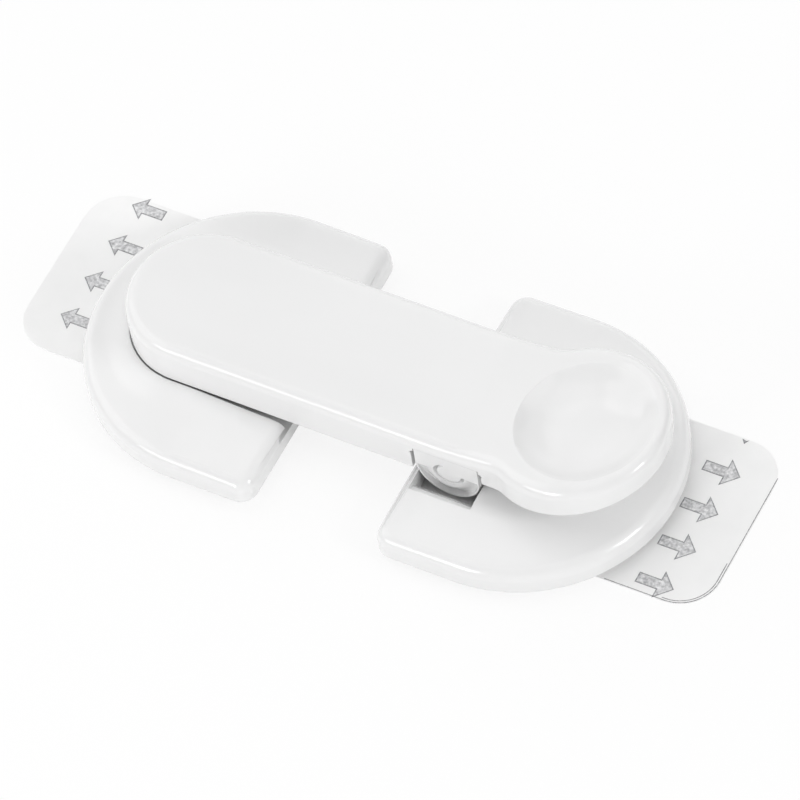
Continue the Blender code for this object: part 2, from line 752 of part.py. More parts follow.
def cover_screws():
    """Four turned screws: flat head, shank and short point."""
    neck_z = COVER_Z + SCREW_HEAD_HEIGHT
    tip_z = screw_tip()
    profile = [
        (0, tip_z), (SCREW_TIP_RADIUS, tip_z), (SCREW_SHANK_RADIUS, tip_z - SCREW_SHANK_RADIUS),
        (SCREW_SHANK_RADIUS, neck_z), (SCREW_HEAD_RADIUS, neck_z), (SCREW_HEAD_RADIUS, COVER_Z), (0, COVER_Z),
    ]
    for index, (x, y) in enumerate(screw_places()):
        name = "cover_screw_%d" % (index + 1)
        material = surface(name + "_steel", (0.6, 0.6, 0.62), 0.3, 1.0)
        finish(turned(name, profile, (x, y, 0)), material, (PIN_X, 0, PIN_Z))


def hinge_pin(material):
    ends = ((PIN_X, -PIN_HALF_LENGTH, PIN_Z), (PIN_X, PIN_HALF_LENGTH, PIN_Z))
    pin = rod("hinge_pin", PIN_RADIUS, *ends)
    return finish(pin, material, (PIN_X, 0, PIN_Z))


def tab_half_length_at(z):
    """Half the length that a tab still has at height z in its half-round lower end."""
    drop = (TAB_FOOT + TAB_ROUND_START - z) / TAB_ROUND_START
    return TAB_HALF_LENGTH * math.sqrt(1 - drop * drop)


def swell(share):
    """Rises from 0 at one end of the lip to 1 at a tab's lowest point, and falls back to 0."""
    return max(math.sin(math.pi * share), 0) ** TAB_LIP_SWELL


def lower_end(inset=0.0, skip=0):
    """Front view of a tab's half-round lower end, left to right, moved inwards by the inset at its middle."""
    points = []
    for i in range(skip, END_STEPS + 1 - skip):
        angle = math.pi * (1 + i / END_STEPS)
        edge = Vector((TAB_HALF_LENGTH * math.cos(angle), TAB_ROUND_START * math.sin(angle)))
        outwards = Vector((math.cos(angle) / TAB_HALF_LENGTH, math.sin(angle) / TAB_ROUND_START)).normalized()
        point = edge - outwards * inset * swell((i - skip) / (END_STEPS - 2 * skip))
        points.append((TAB_CENTRE + point.x, TAB_FOOT + TAB_ROUND_START + point.y))
    return points


def tab_outline():
    """Front view of a tab: straight sides, then the half-round lower end."""
    top = [(TAB_CENTRE + TAB_HALF_LENGTH, TAB_TOP), (TAB_CENTRE - TAB_HALF_LENGTH, TAB_TOP)]
    return top + lower_end()


def lip(name, side):
    """The crescent along a tab's lower end, with a slanted foot, that stands out less towards its ends."""
    inner = ARM_HALF_WIDTH - TAB_THICKNESS / 2
    outer = ARM_HALF_WIDTH + TAB_LIP_REACH
    points = [
        (inner, TAB_FOOT - EPS), (ARM_HALF_WIDTH, TAB_FOOT - EPS), (ARM_HALF_WIDTH, TAB_FOOT),
        (outer, TAB_FOOT + TAB_LIP_LEAD), (outer, TAB_LIP_TOP),
        (ARM_HALF_WIDTH + TAB_LIP_LEAST, TAB_LIP_TOP + TAB_LIP_FADE), (inner, TAB_LIP_TOP + TAB_LIP_FADE),
    ]
    low = TAB_CENTRE - TAB_HALF_LENGTH
    wedge = prism(name, [(side * y, z) for y, z in points], low, low + 2 * TAB_HALF_LENGTH, "YZ")
    crescent = lower_end(skip=LIP_SKIP_STEPS) + lower_end(TAB_LIP_HEIGHT, LIP_SKIP_STEPS)[-2:0:-1]
    near = side * (inner - EPS)
    far = side * (outer + EPS)
    return keep(wedge, prism(name + "_crescent", crescent, min(near, far), max(near, far), "XZ"))


def groove_cutter(name, side):
    """A tube that runs just above the lip, thinning towards both ends."""
    path = lower_end(TAB_LIP_HEIGHT + TAB_GROOVE_RADIUS, LIP_SKIP_STEPS)[1:-1]
    curve = bpy.data.curves.new(name, "CURVE")
    curve.dimensions = "3D"
    curve.bevel_depth = TAB_GROOVE_RADIUS
    curve.bevel_resolution = TUBE_STEPS
    curve.use_fill_caps = True
    spline = curve.splines.new("POLY")
    spline.points.add(len(path) - 1)
    for i, (x, z) in enumerate(path):
        spline.points[i].co = (x, side * (ARM_HALF_WIDTH + TAB_GROOVE_OFFSET), z, 1)
        spline.points[i].radius = swell((i + 1) / (len(path) + 1))
    tube = baked(link(bpy.data.objects.new(name, curve), WORK), name)
    clean(tube.data)
    return tube


def grip(name, side):
    """Oval finger grip, proud at its lower edge and nearly flush at its upper edge."""
    middle = CREASE_Z - GRIP_BELOW_CREASE
    inner = ARM_HALF_WIDTH - TAB_THICKNESS / 2
    points = [
        (inner, middle - GRIP_HALF_HEIGHT), (ARM_HALF_WIDTH + GRIP_RISE, middle - GRIP_HALF_HEIGHT),
        (ARM_HALF_WIDTH + GRIP_TOP_RISE, middle + GRIP_HALF_HEIGHT), (inner, middle + GRIP_HALF_HEIGHT),
    ]
    wedge_profile = [(side * y, z) for y, z in points]
    low = TAB_CENTRE - GRIP_HALF_LENGTH
    wedge = prism(name, wedge_profile, low, low + 2 * GRIP_HALF_LENGTH, "YZ")
    oval = []
    for i in range(END_STEPS):
        angle = 2 * math.pi * i / END_STEPS
        x = TAB_CENTRE + GRIP_HALF_LENGTH * math.cos(angle)
        oval.append((x, middle + GRIP_HALF_HEIGHT * math.sin(angle)))
    near = side * (inner - EPS)
    far = side * (ARM_HALF_WIDTH + GRIP_RISE + EPS)
    return keep(wedge, prism(name + "_oval", oval, min(near, far), max(near, far), "XZ"))


def release_tab(name, side, material):
    """Flat face hung from the crease, with a grip and a lip along its half-round lower end."""
    inner = side * TAB_INNER
    face = side * ARM_HALF_WIDTH
    body = prism(name, tab_outline(), min(inner, face), max(inner, face), "XZ")
    body = join(body, lip(name + "_lip", side), grip(name + "_grip", side))
    body = cut(body, groove_cutter(name + "_groove", side))
    return finish(body, material, (TAB_CENTRE, side * TAB_AXIS_Y, TAB_AXIS_Z))


def clear_scene():
    for obj in list(bpy.data.objects):
        bpy.data.objects.remove(obj, do_unlink=True)


def new_collection(name):
    collection = bpy.data.collections.new(name)
    bpy.context.scene.collection.children.link(collection)
    return collection


def main():
    hinge_base(surface("hinge_base_white", (0.86, 0.86, 0.86), 0.22))
    base_plate("hinge_base_plate", -1, surface("hinge_plate_white", (0.8, 0.8, 0.8), 0.4))
    foam_pad("hinge_foam_pad", -1, HINGE_PAD_OFFSET, surface("hinge_foam", (0.88, 0.88, 0.86), 0.9))
    release_liner(
        "hinge_release_liner", -1, HINGE_LINER_OFFSET, surface("hinge_liner_paper", (0.93, 0.93, 0.92), 0.5)
    )
    catch_base(surface("catch_base_white", (0.86, 0.86, 0.86), 0.22))
    base_plate("catch_base_plate", 1, surface("catch_plate_white", (0.8, 0.8, 0.8), 0.4))
    foam_pad("catch_foam_pad", 1, CATCH_PAD_OFFSET, surface("catch_foam", (0.88, 0.88, 0.86), 0.9))
    release_liner(
        "catch_release_liner", 1, CATCH_LINER_OFFSET, surface("catch_liner_paper", (0.93, 0.93, 0.92), 0.5)
    )
    arm_shell(surface("arm_white", (0.86, 0.86, 0.86), 0.18))
    arm_cover(surface("cover_white", (0.82, 0.82, 0.82), 0.35))
    cover_screws()
    hinge_pin(surface("pin_steel", (0.62, 0.62, 0.64), 0.25, 1.0))
    release_tab("front_release_tab", -1, surface("front_tab_white", (0.86, 0.86, 0.86), 0.2))
    release_tab("rear_release_tab", 1, surface("rear_tab_white", (0.86, 0.86, 0.86), 0.2))


clear_scene()
PARTS = new_collection("fridge_lock")
CUTTERS = new_collection("cutters")
WORK = new_collection("work")
main()
bpy.data.collections.remove(WORK)
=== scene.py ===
"""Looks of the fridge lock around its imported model.

Metres. X runs along the arm from the hinge base to the catch base, Y away from the viewer, Z up from the
surface that the lock is stuck to.
"""
import math

import bmesh
import bpy
from mathutils import Matrix, Vector


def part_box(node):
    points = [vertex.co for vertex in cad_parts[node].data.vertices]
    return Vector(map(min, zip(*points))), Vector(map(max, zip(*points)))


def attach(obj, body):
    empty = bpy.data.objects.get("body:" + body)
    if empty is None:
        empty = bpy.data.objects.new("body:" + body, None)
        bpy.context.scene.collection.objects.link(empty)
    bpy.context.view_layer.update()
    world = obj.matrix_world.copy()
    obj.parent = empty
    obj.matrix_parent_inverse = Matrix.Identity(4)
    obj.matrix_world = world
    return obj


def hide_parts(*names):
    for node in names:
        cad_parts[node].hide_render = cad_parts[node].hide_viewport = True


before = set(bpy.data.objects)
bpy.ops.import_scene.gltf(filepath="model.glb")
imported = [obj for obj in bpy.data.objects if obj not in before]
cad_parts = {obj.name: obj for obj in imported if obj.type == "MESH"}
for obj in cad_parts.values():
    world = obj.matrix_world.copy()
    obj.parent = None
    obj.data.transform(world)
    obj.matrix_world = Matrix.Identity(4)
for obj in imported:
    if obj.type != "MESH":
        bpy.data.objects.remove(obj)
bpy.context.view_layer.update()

MM = 0.001

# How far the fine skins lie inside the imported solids' own faces, and how near their points are one point
SKIN_INSET = 0.15 * MM
SKIN_DROP = 0.1 * MM
WELD = 0.0001 * MM

# Arm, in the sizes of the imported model
ARM_TOP = 22.8 * MM
ARM_HALF_WIDTH = 18.8 * MM
ARM_END_CENTRE = -47.2 * MM
ARM_EDGE_ROUND = 3.0 * MM
ARM_SKIN_FLOOR = 8.0 * MM
NECK_ROUND = 11.0 * MM
NOSE_CENTRE = 53.2 * MM
NOSE_RADIUS = 22.5 * MM
NOSE_SLOPE = 0.15
BEND_START = 24.0 * MM
BEND_END = 36.0 * MM
DISH_CENTRE = 55.5 * MM
DISH_RIM_RADIUS = 17.2 * MM
DISH_DEPTH = 5.0 * MM
DISH_FULLNESS = 0.9 * MM

# How softly the dish meets the arm's top: crisp towards the hinge, rolled over at the nose's tip
RIM_CRISP = 0.25 * MM
RIM_SOFT = 2.6 * MM
RIM_TURN = math.radians(95.0)
RIM_FADE = math.radians(50.0)

# Bases
BASE_HALF_WIDTH = 39.2 * MM
BASE_STRAIGHT = 21.5 * MM
BASE_INNER_EDGE = 16.25 * MM
BASE_CORNER = 4.4 * MM
CORNER_LEAST = 0.3 * MM
BASE_EDGE_ROUND = 3.0 * MM
BASE_TOP = 11.0 * MM
BASE_CROWN_RADIUS = 400.0 * MM
CROWN_RINGS = 30

# Channel in the hinge base, whose brim rises to the arm, and the room that the skin leaves for the lug
CHANNEL_GAP = 0.08 * MM
CHANNEL_MOUTH_ROUND = 0.8 * MM
BRIM_RISE = 0.85 * MM
BRIM_REACH = 8.0 * MM
BRIM_FULL_X = -50.0 * MM
BRIM_FADE = 27.0 * MM
BRIM_FLOOR = 8.2 * MM
BRIM_TOP = 11.1 * MM
BRIM_INSET = 0.5 * MM
LUG_ROOM = ((-64.5 * MM, -6.0 * MM, 6.0 * MM), (-53.5 * MM, 6.0 * MM, 24.0 * MM))

# Release tabs: a flat face from the crease down, half-round at its lower end, with a hollow band above a
# thin lip and a C-shaped groove round the finger grip. The lip's rows are distances from the lower edge
# and heights over the arm's side. The groove's turns are degrees from the grip's right end
TAB_CENTRE = 27.1 * MM
TAB_HALF_LENGTH = 8.35 * MM
TAB_INNER = 16.6 * MM
TAB_CREASE = 19.2 * MM
TAB_SEAM = 0.02 * MM
TAB_BACK_DROP = 0.35 * MM
TAB_END_Z = 13.6 * MM
TAB_END_HEIGHT = 9.0 * MM
TAB_LIP = (
    (0.0, -0.5 * MM),
    (0.2 * MM, -0.2 * MM),
    (0.4 * MM, -0.4 * MM),
    (0.75 * MM, -1.7 * MM),
    (1.1 * MM, -1.75 * MM),
    (4.2 * MM, 0.0),
)
TAB_LIP_FADE = 0.6
TAB_COLUMNS = 150
TAB_ROWS = 96
TAB_ROW_SPREAD = 1.15
GRIP_SHIFT = 0.4 * MM
GRIP_Z = 13.5 * MM
GRIP_HALF_LENGTH = 3.6 * MM
GRIP_HALF_HEIGHT = 2.75 * MM
GRIP_TOP = 14.8 * MM
GRIP_RISE = 0.1 * MM
GRIP_GROOVE_DEPTH = 1.8 * MM
GRIP_GROOVE_HALF_WIDTH = 0.42 * MM
GRIP_GROOVE_START = 112.0
GRIP_GROOVE_END = 366.0
GRIP_GROOVE_FADE = 14.0
GRIP_FIRST_TURN = 60.0

# Foam pads
FOAM_CORNER = 4.0 * MM
FOAM_BULGE = 0.25 * MM
FOAM_ROWS = 8

# Fineness
ROUND_STEPS = 10
ARC_STEPS = 48
SIDE_STEPS = 26
NECK_STEPS = 12
CORNER_STEPS = 12
STRAIGHT_STEPS = 18
LAND_STEPS = 36
DISH_STEPS = 26
LAND_FIRST = 0.15 * MM
LAND_LEAST = 0.04 * MM
LAND_FULL = 3.0 * MM
SMOOTH_ANGLE = math.radians(32.0)

# Camera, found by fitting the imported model's outlines to the photograph
CAMERA_AZIMUTH = math.radians(35.54)
CAMERA_ELEVATION = math.radians(54.37)
CAMERA_ROLL = math.radians(-10.38)
CAMERA_DISTANCE = 1.885
CAMERA_TARGET = Vector((1.53 * MM, 3.85 * MM, 0.0))
SENSOR = 36.0
FOCAL_SHARE = 7904.0 / 800.0
CLIP_NEAR = 0.1
CLIP_FAR = 10.0

# Arrows printed on the liners, in the photographed places. Each row: its first tip, the way that it
# points, the arrows' length, head width, shaft width and head length, and their pitch
ARROW_ROWS = {
    "hinge_arrows": (Vector((-85.4 * MM, 30.04 * MM)), -1, 8.7 * MM, 6.2 * MM, 2.7 * MM, 3.2 * MM, 11.9 * MM),
    "catch_arrows": (Vector((86.1 * MM, 15.2 * MM)), 1, 9.2 * MM, 7.4 * MM, 2.7 * MM, 3.6 * MM, 11.58 * MM),
}
ARROW_EDGE = 0.3 * MM
INK_THICKNESS = 0.02 * MM
ARROW_DRIFT = -0.2 * MM
ARROWS_IN_ROW = 4
ARROW_END = [(81.9 * MM, 25.5 * MM), (82.9 * MM, 24.2 * MM), (83.7 * MM, 25.6 * MM), (83.0 * MM, 25.2 * MM)]

# Painted shadow at the catch liner's edge: a dark line just inside the edge that stands in for the shade of
# the liner's cut edge and its contact shadow. Each stroke: its inset, and how far it runs along each side
LINER_CORNER = 10.0 * MM
EDGE_SHADOW_WIDTH = 0.22 * MM
EDGE_SHADOW_STROKES = ((0.15 * MM, 18.4 * MM, 69.2 * MM), (0.7 * MM, -8.0 * MM, 84.0 * MM))

# Colours of the materials
PLASTIC_WHITE = (0.86, 0.86, 0.86)
PLATE_WHITE = (0.82, 0.82, 0.82)
PAPER_WHITE = (0.94, 0.94, 0.938)
# The foam's pits take a darker grey as painted shade; the cell walls keep the foam's own tone
FOAM_PIT_SHADE = (0.8, 0.8, 0.77)
FOAM_WALL = (0.9, 0.9, 0.87)
ZINC = (0.6, 0.6, 0.62)
GROUND_STEEL = (0.62, 0.62, 0.64)
INK_DARK = (0.4, 0.4, 0.41)
INK_LIGHT = (0.9, 0.9, 0.91)
# Dark grey of the arrows' printed outlines, also used as painted shadow for the line at the catch liner's
# edge
EDGE_INK_AND_SHADOW_DARK = (0.16, 0.16, 0.17)
EDGE_INK_AND_SHADOW_LIGHT = (0.5, 0.5, 0.51)

# Gloss of the mouldings, from mirror at 0 to matt at 1, and how far the looks of their edges are rounded
BASE_ROUGHNESS = 0.15
ARM_ROUGHNESS = 0.13
TAB_ROUGHNESS = 0.16
MOULDED_EDGE = 0.25 * MM
PLATE_EDGE = 0.2 * MM
TAB_EDGE = 0.05 * MM
EDGE_SAMPLES = 6

# The middle band of a noise, which the looks are spread over
NOISE_LOW = 0.3
NOISE_HIGH = 0.7

# Floor, just under the liners: its half size, its grey, and the share of white that is seen of it
FLOOR_HALF_SIZE = 3.0
FLOOR_DROP = 0.02 * MM
FLOOR_TONE = 0.96
FLOOR_WHITE_SHARE = 0.85

# Surroundings: brightness overhead and low down at the front left, front right, back left and back right
SKY_HIGH = 0.15
SKY_FRONT = (0.0, 0.77)
SKY_BACK = (1.26, 0.1)
SKY_RISE = (0.35, 0.75)
SKY_TURN = (-0.5, 0.5)

# Lights: name, the way to it from the object, its width and height, and its power
LIGHT_DISTANCE = 1.1
LIGHTS = (
    ("back_left_box", (-0.45, 0.45, 0.77), (0.8, 0.8), 1.25),
    ("left_box", (-0.75, -0.15, 0.64), (0.9, 0.9), 3.1),
    ("right_box", (0.75, 0.1, 0.64), (0.9, 0.9), 2.4),
    ("back_box", (0.0, 0.8, 0.6), (0.9, 0.9), 1.5),
    ("top_box", (0.0, 0.05, 1.0), (0.9, 0.9), 1.6),
    ("front_strip", (-0.377, -0.808, 0.454), (0.7, 0.28), 2.6),
    ("front_lamp", (-0.18, -0.90, 0.39), (0.28, 0.28), 1.5),
    ("low_front_box", (0.0, -0.97, 0.24), (1.2, 0.4), 0.46),
    ("right_lamp", (0.84, -0.03, 0.54), (0.25, 0.25), 2.2),
)


def link(obj):
    bpy.context.scene.collection.objects.link(obj)
    return obj


def mesh_object(name, bm):
    mesh = bpy.data.meshes.new(name)
    bm.to_mesh(mesh)
    bm.free()
    return link(bpy.data.objects.new(name, mesh))


def arc(cx, cy, radius, start, end, steps):
    """Points along an arc, angles in degrees, both ends included."""
    points = []
    for i in range(steps + 1):
        angle = math.radians(start + (end - start) * i / steps)
        points.append((cx + radius * math.cos(angle), cy + radius * math.sin(angle)))
    return points


def mirrored(upper):
    """The closed outline that an upper half and its mirror image across y = 0 make."""
    return upper + [(x, -y) for x, y in reversed(upper) if abs(y) > 1e-7]


def smooth(share):
    share = min(max(share, 0.0), 1.0)
    return share * share * (3 - 2 * share)


def soft_min(a, b, width):
    """The lower of two heights, with their crossing rounded over the width."""
    share = max(width - abs(a - b), 0.0) / width
    return min(a, b) - share * share * width / 4


def arm_outline(inset):
    """The arm's plan outline moved inwards, with as many points at every inset."""
    reach = NOSE_RADIUS + NECK_ROUND
    rise = ARM_HALF_WIDTH + NECK_ROUND
    run = math.sqrt(reach * reach - rise * rise)
    lean = math.degrees(math.atan2(rise, run))
    neck_x = NOSE_CENTRE - run
    half = ARM_HALF_WIDTH - inset
    upper = arc(NOSE_CENTRE, 0, NOSE_RADIUS - inset, 0, 180 - lean, ARC_STEPS)
    upper += arc(neck_x, rise, NECK_ROUND + inset, -lean, -90, NECK_STEPS)[1:]
    near = math.atan2(ARM_HALF_WIDTH, DISH_CENTRE - neck_x)
    far = math.atan2(ARM_HALF_WIDTH, DISH_CENTRE - ARM_END_CENTRE)
    for i in range(1, SIDE_STEPS):
        angle = near + (far - near) * i / SIDE_STEPS
        upper.append((DISH_CENTRE - ARM_HALF_WIDTH / math.tan(angle), half))
    upper += arc(ARM_END_CENTRE, 0, half, 90, 180, ARC_STEPS // 2)
    return mirrored(upper)


def arm_top_at(x):
    length = BEND_END - BEND_START
    run = min(max(x - BEND_START, 0), length)
    return ARM_TOP + NOSE_SLOPE * (run * run / (2 * length) + max(x - BEND_END, 0))


def dish_at(x, y):
    """Height of the ball that hollows the nose, square to the nose's slope."""
    radius = (DISH_RIM_RADIUS ** 2 + DISH_DEPTH ** 2) / (2 * DISH_DEPTH)
    upwards = Vector((-NOSE_SLOPE, 0, 1)).normalized()
    centre = Vector((DISH_CENTRE, 0, arm_top_at(DISH_CENTRE))) + upwards * (radius - DISH_DEPTH)
    inside = radius ** 2 - (x - centre.x) ** 2 - y ** 2
    if inside <= 0:
        return centre.z
    out = min(((x - DISH_CENTRE) ** 2 + y ** 2) / DISH_RIM_RADIUS ** 2, 1)
    return centre.z - math.sqrt(inside) - 4 * DISH_FULLNESS * out * (1 - out)


def arm_height(x, y):
    """Height of the arm's top with the dish in it."""
    turn = abs(math.atan2(y, x - DISH_CENTRE))
    softness = smooth((RIM_TURN + RIM_FADE / 2 - turn) / RIM_FADE)
    width = RIM_CRISP + (RIM_SOFT - RIM_CRISP) * softness
    return soft_min(arm_top_at(x), dish_at(x, y), width) - SKIN_DROP


def loop_faces(bm, rings):
    """Quads between rings with as many points each."""
    for low, high in zip(rings, rings[1:]):
        count = len(low)
        for i in range(count):
            j = (i + 1) % count
            bm.faces.new((low[i], low[j], high[j], high[i]))


def domed(name, bm, rings, top):
    """A closed solid of rings from the foot up to a point at the top."""
    loop_faces(bm, rings)
    bm.faces.new(rings[0])
    middle = bm.verts.new(top)
    last = rings[-1]
    for i in range(len(last)):
        bm.faces.new((last[i], last[(i + 1) % len(last)], middle))
    bmesh.ops.recalc_face_normals(bm, faces=bm.faces)
    return mesh_object(name, bm)


def arm_skin():
    """The arm's fine outside: walls, rolled edge, top with its bend, and the dish."""
    bm = bmesh.new()
    foot = arm_outline(SKIN_INSET)
    rings = [[bm.verts.new((x, y, ARM_SKIN_FLOOR)) for x, y in foot]]
    for k in range(ROUND_STEPS + 1):
        angle = math.pi / 2 * k / ROUND_STEPS
        inset = ARM_EDGE_ROUND * (1 - math.cos(angle))
        drop = ARM_EDGE_ROUND * (1 - math.sin(angle))
        outline = arm_outline(SKIN_INSET + inset)
        rings.append([bm.verts.new((x, y, arm_height(x, y) - drop)) for x, y in outline])
    centre = Vector((DISH_CENTRE, 0))
    edge = [Vector(point) for point in outline]
    columns = []
    for point in edge:
        way = (point - centre).normalized()
        reach = (point - centre).length
        rim = min(DISH_RIM_RADIUS, reach - LAND_LEAST)
        gap = reach - rim
        first = LAND_FIRST * min(gap / LAND_FULL, 1) + LAND_LEAST / 2
        column = []
        for j in range(1, LAND_STEPS):
            away = first * (max(gap, first) / first) ** (1 - j / LAND_STEPS)
            column.append(centre + way * (rim + min(away, gap * (1 - j / LAND_STEPS))))
        for j in range(DISH_STEPS):
            column.append(centre + way * rim * (1 - j / DISH_STEPS))
        columns.append(column)
    for level in range(len(columns[0])):
        points = [column[level] for column in columns]
        rings.append([bm.verts.new((p.x, p.y, arm_height(p.x, p.y))) for p in points])
    return domed("arm_skin", bm, rings, (centre.x, centre.y, arm_height(centre.x, centre.y)))


def base_outline(side, inset):
    """A base's plan outline moved inwards, with as many points at every inset."""
    half = BASE_HALF_WIDTH - inset
    corner = max(BASE_CORNER - inset, CORNER_LEAST)
    inner = BASE_INNER_EDGE + inset
    end = BASE_INNER_EDGE + BASE_STRAIGHT
    upper = arc(end, 0, half, 0, 90, ARC_STEPS)
    upper += arc(inner + corner, half - corner, corner, 90, 180, CORNER_STEPS)
    upper += [(inner, (half - corner) * (1 - k / STRAIGHT_STEPS)) for k in range(1, STRAIGHT_STEPS + 1)]
    return [(side * x, y) for x, y in mirrored(upper)]


def brim_rise(x, y):
    """How much the hinge base rises towards the channel, less towards the channel's mouth."""
    away = math.hypot(min(x - ARM_END_CENTRE, 0), y) - ARM_HALF_WIDTH
    along = 1 - smooth((x - BRIM_FULL_X) / BRIM_FADE)
    return BRIM_RISE * along * (1 - smooth(away / BRIM_REACH))


def channel_outline(gap, far):
    """The arm's hinge end with a gap round it, flared at the base's inner edge."""
    half = ARM_HALF_WIDTH + gap
    mouth = CHANNEL_MOUTH_ROUND
    upper = [(far, half + mouth)]
    upper += arc(-BASE_INNER_EDGE - mouth, half + mouth, mouth, 0, -90, CORNER_STEPS)
    upper += arc(ARM_END_CENTRE, 0, half, 90, 180, ARC_STEPS)
    return mirrored(upper)


def closed_faces(bm, rings):
    """The faces round a stack of rings, flat at its foot and top."""
    loop_faces(bm, rings)
    bm.faces.new(rings[0])
    bm.faces.new(rings[-1])


def stacked(name, bm, rings):
    """A closed solid of rings."""
    closed_faces(bm, rings)
    bmesh.ops.recalc_face_normals(bm, faces=bm.faces)
    return mesh_object(name, bm)


def prism(name, outline, low, high):
    bm = bmesh.new()
    return stacked(name, bm, [[bm.verts.new((x, y, z)) for x, y in outline] for z in (low, high)])


def brim():
    """What is added to the hinge base before its skin is taken, with the channel left open."""
    slab = prism("brim", base_outline(-1, BRIM_INSET), BRIM_FLOOR, BRIM_TOP)
    opening = channel_outline(CHANNEL_GAP, -BASE_INNER_EDGE + BASE_EDGE_ROUND)
    channel = prism("brim_channel", opening, BRIM_FLOOR - BASE_EDGE_ROUND, BRIM_TOP + BASE_EDGE_ROUND)
    return combined(slab, channel, "DIFFERENCE", "brim")


def crown_height(side, x, y):
    """Height of a base's crowned top, with the hinge base's rise towards its channel."""
    out = x - side * (BASE_INNER_EDGE + BASE_STRAIGHT)
    level = BASE_TOP - SKIN_DROP - (out ** 2 + y ** 2) / (2 * BASE_CROWN_RADIUS)
    return level + brim_rise(x, y) if side < 0 else level


def base_skin(side):
    """A base's fine outside: upright walls, the rolled top edge and the crowned top."""
    bm = bmesh.new()
    middle = side * (BASE_INNER_EDGE + BASE_STRAIGHT)
    rings = [[bm.verts.new((x, y, 0)) for x, y in base_outline(side, SKIN_INSET)]]
    for k in range(ROUND_STEPS + 1):
        angle = math.pi / 2 * k / ROUND_STEPS
        drop = BASE_EDGE_ROUND * (1 - math.sin(angle))
        edge = base_outline(side, SKIN_INSET + BASE_EDGE_ROUND * (1 - math.cos(angle)))
        rings.append([bm.verts.new((x, y, crown_height(side, x, y) - drop)) for x, y in edge])
    for k in range(1, CROWN_RINGS):
        share = 1 - k / CROWN_RINGS
        ring = [(middle + (x - middle) * share, y * share) for x, y in edge]
        rings.append([bm.verts.new((x, y, crown_height(side, x, y))) for x, y in ring])
    return domed("base_skin", bm, rings, (middle, 0, crown_height(side, middle, 0)))


def stepped(table, at):
    """Height at a place by a table of places and heights, eased between them."""
    for (start, low), (end, high) in zip(table, table[1:]):
        if at <= end:
            return low + (high - low) * smooth((at - start) / (end - start))
    return table[-1][1]


def tab_relief(u, z):
    """How far a tab's face stands out of the arm's side."""
    across = u / TAB_HALF_LENGTH
    down = max(TAB_END_Z - z, 0) / TAB_END_HEIGHT
    out = max(math.hypot(across, down), 1e-6)
    reach = math.hypot(TAB_HALF_LENGTH * across, TAB_END_HEIGHT * down) / out
    lip = stepped(TAB_LIP, (1 - out) * reach) * (down / out) ** TAB_LIP_FADE
    east = (u - GRIP_SHIFT) / GRIP_HALF_LENGTH
    north = (z - GRIP_Z) / GRIP_HALF_HEIGHT
    beyond = (math.hypot(east, north) - 1) * (GRIP_HALF_LENGTH + GRIP_HALF_HEIGHT) / 2
    turn = math.degrees(math.atan2(north, east)) % 360
    turn += 360 if turn < GRIP_FIRST_TURN else 0
    groove = GRIP_GROOVE_DEPTH * max(1 - abs(beyond) / GRIP_GROOVE_HALF_WIDTH, 0)
    groove *= smooth((turn - GRIP_GROOVE_START) / GRIP_GROOVE_FADE)
    groove *= smooth((GRIP_GROOVE_END - turn) / GRIP_GROOVE_FADE)
    wedge = max(GRIP_TOP - z, 0) / (GRIP_TOP - GRIP_Z + GRIP_HALF_HEIGHT)
    raised = GRIP_RISE * wedge * smooth((GRIP_GROOVE_HALF_WIDTH - beyond) / (2 * GRIP_GROOVE_HALF_WIDTH))
    return lip + raised - groove


def tab_piece(name, side):
    """A release tab with its fine relief."""
    bm = bmesh.new()
    columns = []
    for i in range(TAB_COLUMNS + 1):
        u = -TAB_HALF_LENGTH * math.cos(math.pi * i / TAB_COLUMNS)
        foot = TAB_END_Z - TAB_END_HEIGHT * math.sqrt(max(1 - (u / TAB_HALF_LENGTH) ** 2, 0))
        column = []
        for j in range(TAB_ROWS + 1):
            z = foot + (TAB_CREASE - TAB_SEAM - foot) * (j / TAB_ROWS) ** TAB_ROW_SPREAD
            y = side * (ARM_HALF_WIDTH - SKIN_INSET + tab_relief(u, z))
            column.append(bm.verts.new((TAB_CENTRE + u, y, z)))
        columns.append(column)
    for left, right in zip(columns, columns[1:]):
        for j in range(TAB_ROWS):
            bm.faces.new((left[j], right[j], right[j + 1], left[j + 1]))
    border = [column[0] for column in columns]
    border += columns[-1][1:]
    border += [column[-1] for column in reversed(columns[:-1])]
    border += columns[0][-2:0:-1]
    back = []
    for vert in border:
        z = min(vert.co.z, TAB_CREASE - TAB_BACK_DROP)
        back.append(bm.verts.new((vert.co.x, side * TAB_INNER, z)))
    loop_faces(bm, (border, back))
    bm.faces.new(back)
    bmesh.ops.recalc_face_normals(bm, faces=bm.faces)
    return shade(mesh_object(name, bm))


def block(name, low, high):
    bm = bmesh.new()
    size = [h - l for l, h in zip(low, high)]
    middle = [(h + l) / 2 for l, h in zip(low, high)]
    bmesh.ops.create_cube(bm, size=1.0, matrix=Matrix.Translation(middle) @ Matrix.Diagonal((*size, 1)))
    return mesh_object(name, bm)


def applied(obj, name):
    """A mesh object with the evaluated shape of obj, which is removed."""
    depsgraph = bpy.context.evaluated_depsgraph_get()
    mesh = bpy.data.meshes.new_from_object(obj.evaluated_get(depsgraph))
    mesh.transform(obj.matrix_world)
    bpy.data.objects.remove(obj, do_unlink=True)
    mesh.name = name
    return link(bpy.data.objects.new(name, mesh))


def combined(target, tool, operation, name):
    modifier = target.modifiers.new("join", "BOOLEAN")
    modifier.operation = operation
    modifier.solver = "EXACT"
    modifier.object = tool
    bpy.context.view_layer.update()
    result = applied(target, name)
    bpy.data.objects.remove(tool, do_unlink=True)
    return result


def shade(obj):
    """Round faces smooth, edges sharp, flat faces flat."""
    obj.data.shade_smooth()
    obj.data.set_sharp_from_angle(angle=SMOOTH_ANGLE)
    weighted = obj.modifiers.new("flat_faces", "WEIGHTED_NORMAL")
    weighted.keep_sharp = True
    return obj


